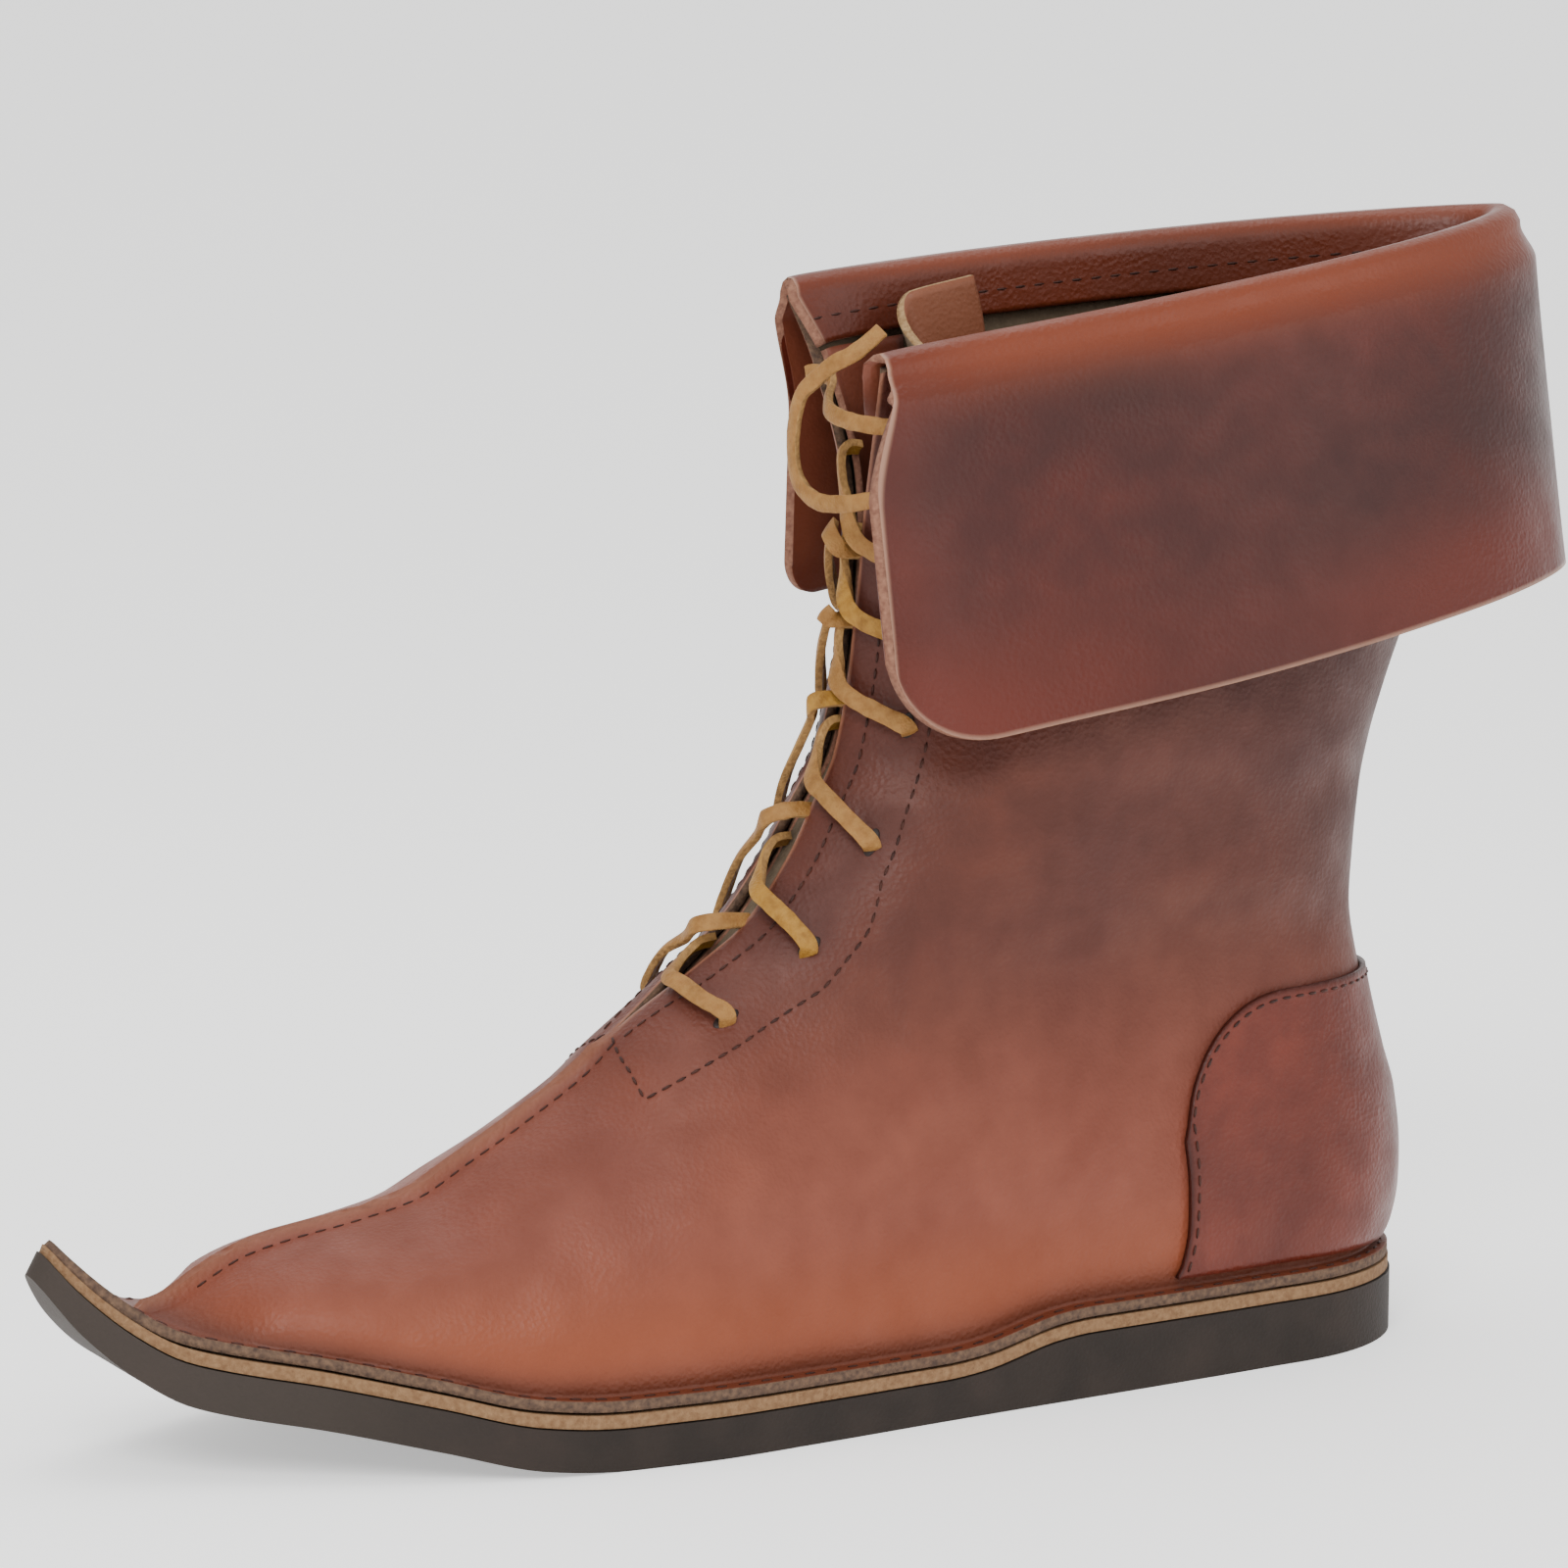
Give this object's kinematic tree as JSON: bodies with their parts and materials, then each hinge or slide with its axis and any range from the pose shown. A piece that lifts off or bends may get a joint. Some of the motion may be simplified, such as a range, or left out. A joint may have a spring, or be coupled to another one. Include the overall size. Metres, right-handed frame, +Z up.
{
  "type": "laced leather knight boot",
  "caption": "Medieval-style ankle boot with a turned-up pointed toe, front thong lacing and a wide turned-down cuff, on a low rubber sole.",
  "frame": {"origin": "on the floor under the middle of the heel", "axes": "+Z up, +X towards the heel's back, so the toe points to -X; the outer side faces -Y and the inner side +Y"},
  "size_m": [0.3612, 0.0961, 0.2459],
  "materials": {
    "outsole_rubber": "matt dark brown rubber",
    "midsole_leather": "light tan cut edge",
    "insole_leather": "plain tan leather",
    "upper_leather": "waxed red-brown leather, darker up the shaft",
    "counter_leather": "waxed red-brown leather",
    "facing_leather": "smooth brown leather",
    "tongue_leather": "brown leather with a suede back",
    "cuff_leather": "dark burnished leather, orange brown at the fold",
    "lace_leather": "tan rawhide thong"
  },
  "bodies": {
    "root": {"outsole": "outsole_rubber", "midsole": "midsole_leather", "insole": "insole_leather", "upper": "upper_leather", "counter": "counter_leather", "facing_lateral": "facing_leather", "facing_medial": "facing_leather", "tongue": "tongue_leather", "cuff": "cuff_leather", "lace_1_lateral": "lace_leather", "lace_1_medial": "lace_leather", "lace_2_lateral": "lace_leather", "lace_2_medial": "lace_leather", "lace_3_lateral": "lace_leather", "lace_3_medial": "lace_leather", "lace_4_lateral": "lace_leather", "lace_4_medial": "lace_leather", "lace_5_lateral": "lace_leather", "lace_5_medial": "lace_leather", "lace_6_lateral": "lace_leather", "lace_end_long": "lace_leather", "lace_end_short": "lace_leather"}
  },
  "joints": []
}
